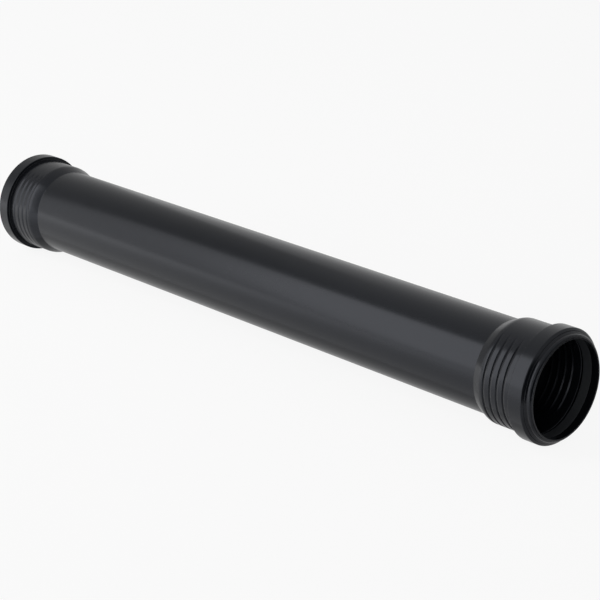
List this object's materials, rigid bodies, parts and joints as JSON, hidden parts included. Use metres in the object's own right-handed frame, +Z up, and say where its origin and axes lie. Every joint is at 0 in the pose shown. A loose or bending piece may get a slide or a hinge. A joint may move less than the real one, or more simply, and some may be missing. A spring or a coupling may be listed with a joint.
{
  "type": "soil pipe",
  "caption": "Straight plastic soil pipe with a ribbed ring-seal socket formed on each end, for joining plain pipe ends and fittings.",
  "frame": {"origin": "on the ground under the middle of the pipe, which lies on its two collars", "axes": "+X along the pipe, +Z up"},
  "size_m": [0.94, 0.1312, 0.1312],
  "materials": {
    "pipe_plastic": "satin",
    "seal_rubber": "matte"
  },
  "bodies": {
    "root": {"pipe": "pipe_plastic", "seal_right": "seal_rubber", "seal_left": "seal_rubber"}
  },
  "joints": []
}
